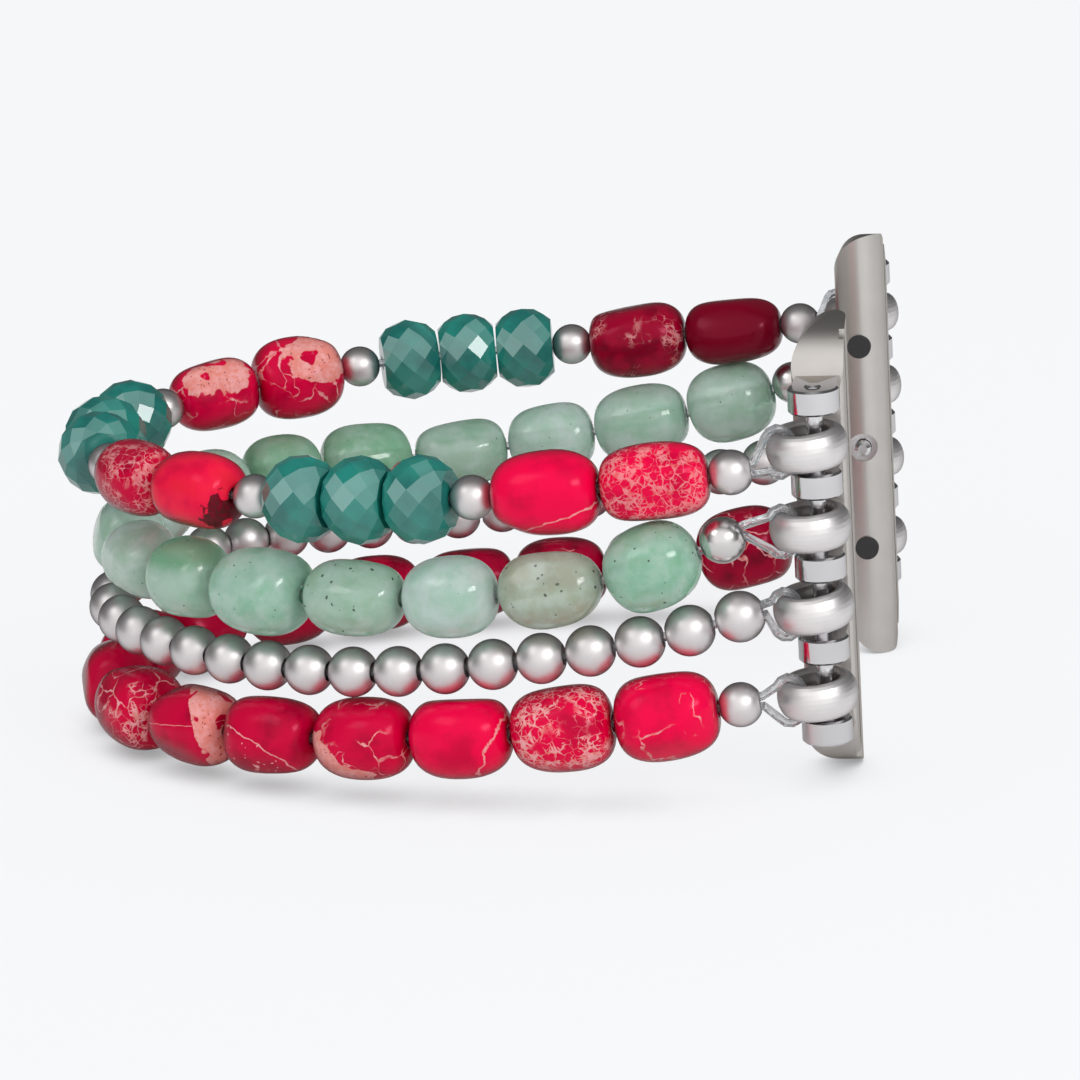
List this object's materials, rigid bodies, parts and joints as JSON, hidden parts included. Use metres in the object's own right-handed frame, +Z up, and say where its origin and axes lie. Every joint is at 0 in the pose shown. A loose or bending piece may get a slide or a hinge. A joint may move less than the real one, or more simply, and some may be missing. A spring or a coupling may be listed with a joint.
{
  "type": "watch strap",
  "caption": "Elastic multi-strand bead watch strap of stone nuggets, cut glass and steel balls, hinged by cord rings to two slide-in watch connectors.",
  "frame": {"origin": "centre of the bounding box in plan, at the floor that the strap stands on edge on", "axes": "+Z up, along the hinge pins and the width of the strap; +X from the middle of the turn to the connectors; -Y the front side"},
  "size_m": [0.062, 0.0532, 0.0332],
  "materials": {
    "teal_stone": "opaque cut glass",
    "red_stone": "polished",
    "deep_red_stone": "polished",
    "green_stone": "polished translucent",
    "silver_bead": "satin",
    "end_bead": "satin",
    "ring_steel": "polished",
    "bar_steel": "satin",
    "pin_steel": "polished",
    "clear_cord": "clear",
    "grip_rubber": "matt"
  },
  "bodies": {
    "strap_middle": {"middle_teal_beads": "teal_stone", "middle_red_nuggets": "red_stone", "middle_spacer_beads": "silver_bead", "middle_green_nuggets": "green_stone", "middle_silver_balls": "silver_bead", "middle_big_red_nuggets": "deep_red_stone", "middle_cord_1": "clear_cord", "middle_cord_2": "clear_cord", "middle_cord_3": "clear_cord", "middle_cord_4": "clear_cord"},
    "front_run": {"front_teal_beads": "teal_stone", "front_red_nuggets": "red_stone", "front_spacer_beads": "silver_bead", "front_green_nuggets": "green_stone", "front_green_end_bead": "end_bead", "front_silver_balls": "silver_bead", "front_big_red_nuggets": "deep_red_stone", "front_big_red_end_bead": "end_bead", "front_cord_1": "clear_cord", "front_cord_2": "clear_cord", "front_cord_3": "clear_cord", "front_cord_4": "clear_cord"},
    "front_connector": {"front_slide_bar": "bar_steel", "front_hinge_pin": "pin_steel", "front_catch_collar": "pin_steel", "front_catch_spring": "pin_steel", "front_grip_pads": "grip_rubber"},
    "front_catch": {"front_catch_button": "pin_steel"},
    "front_ring_1": {"front_ring_1": "ring_steel"},
    "front_ring_2": {"front_ring_2": "ring_steel"},
    "front_ring_3": {"front_ring_3": "ring_steel"},
    "front_ring_4": {"front_ring_4": "ring_steel"},
    "rear_run": {"rear_teal_beads": "teal_stone", "rear_red_nuggets": "red_stone", "rear_spacer_beads": "silver_bead", "rear_green_nuggets": "green_stone", "rear_green_end_bead": "end_bead", "rear_silver_balls": "silver_bead", "rear_big_red_nuggets": "deep_red_stone", "rear_big_red_end_bead": "end_bead", "rear_cord_1": "clear_cord", "rear_cord_2": "clear_cord", "rear_cord_3": "clear_cord", "rear_cord_4": "clear_cord"},
    "rear_connector": {"rear_slide_bar": "bar_steel", "rear_hinge_pin": "pin_steel", "rear_catch_collar": "pin_steel", "rear_catch_spring": "pin_steel", "rear_grip_pads": "grip_rubber"},
    "rear_catch": {"rear_catch_button": "pin_steel"},
    "rear_ring_1": {"rear_ring_1": "ring_steel"},
    "rear_ring_2": {"rear_ring_2": "ring_steel"},
    "rear_ring_3": {"rear_ring_3": "ring_steel"},
    "rear_ring_4": {"rear_ring_4": "ring_steel"}
  },
  "joints": [
    {"name": "front_flex", "type": "hinge", "parent": "strap_middle", "child": "front_run", "pos_m": [-0.01187, -0.01927, 0.012], "axis": [0, 0, -1], "range_deg": [-8, 24], "stiffness_Nm_per_rad": 0.002},
    {"name": "front_connector_swing", "type": "hinge", "parent": "front_run", "child": "front_connector", "pos_m": [0.02869, -0.02047, 0.0166], "axis": [0, 0, -1], "range_deg": [-40, 80]},
    {"name": "front_catch_press", "type": "slide", "parent": "front_connector", "child": "front_catch", "axis": [0, -1, 0], "range_m": [0, 0.0005], "stiffness_N_per_m": 300, "springref_m": -0.0005, "deforming": ["front_catch_spring"]},
    {"name": "front_ring_1_spin", "type": "hinge", "parent": "front_run", "child": "front_ring_1", "pos_m": [0.02815, -0.02072, 0.0253], "axis": [-0.0794, -0.036, 0.9962], "continuous": true},
    {"name": "front_ring_2_spin", "type": "hinge", "parent": "front_run", "child": "front_ring_2", "pos_m": [0.02815, -0.02072, 0.0195], "axis": [-0.0477, -0.0216, 0.9986], "continuous": true},
    {"name": "front_ring_3_spin", "type": "hinge", "parent": "front_run", "child": "front_ring_3", "pos_m": [0.02815, -0.02072, 0.0136], "axis": [-0.111, -0.0504, 0.9925], "continuous": true},
    {"name": "front_ring_4_spin", "type": "hinge", "parent": "front_run", "child": "front_ring_4", "pos_m": [0.02815, -0.02072, 0.0072], "axis": [-0.0794, -0.036, 0.9962], "continuous": true},
    {"name": "rear_flex", "type": "hinge", "parent": "strap_middle", "child": "rear_run", "pos_m": [-0.01187, 0.01927, 0.012], "axis": [0, 0, 1], "range_deg": [-8, 24], "stiffness_Nm_per_rad": 0.002},
    {"name": "rear_connector_swing", "type": "hinge", "parent": "rear_run", "child": "rear_connector", "pos_m": [0.02869, 0.02047, 0.0166], "axis": [0, 0, 1], "range_deg": [-40, 80]},
    {"name": "rear_catch_press", "type": "slide", "parent": "rear_connector", "child": "rear_catch", "axis": [0, 1, 0], "range_m": [0, 0.0005], "stiffness_N_per_m": 300, "springref_m": -0.0005, "deforming": ["rear_catch_spring"]},
    {"name": "rear_ring_1_spin", "type": "hinge", "parent": "rear_run", "child": "rear_ring_1", "pos_m": [0.02815, 0.02072, 0.0253], "axis": [-0.0635, 0.0288, 0.9976], "continuous": true},
    {"name": "rear_ring_2_spin", "type": "hinge", "parent": "rear_run", "child": "rear_ring_2", "pos_m": [0.02815, 0.02072, 0.0195], "axis": [-0.0477, 0.0216, 0.9986], "continuous": true},
    {"name": "rear_ring_3_spin", "type": "hinge", "parent": "rear_run", "child": "rear_ring_3", "pos_m": [0.02815, 0.02072, 0.0136], "axis": [-0.0794, 0.036, 0.9962], "continuous": true},
    {"name": "rear_ring_4_spin", "type": "hinge", "parent": "rear_run", "child": "rear_ring_4", "pos_m": [0.02815, 0.02072, 0.0072], "axis": [-0.0477, 0.0216, 0.9986], "continuous": true}
  ]
}
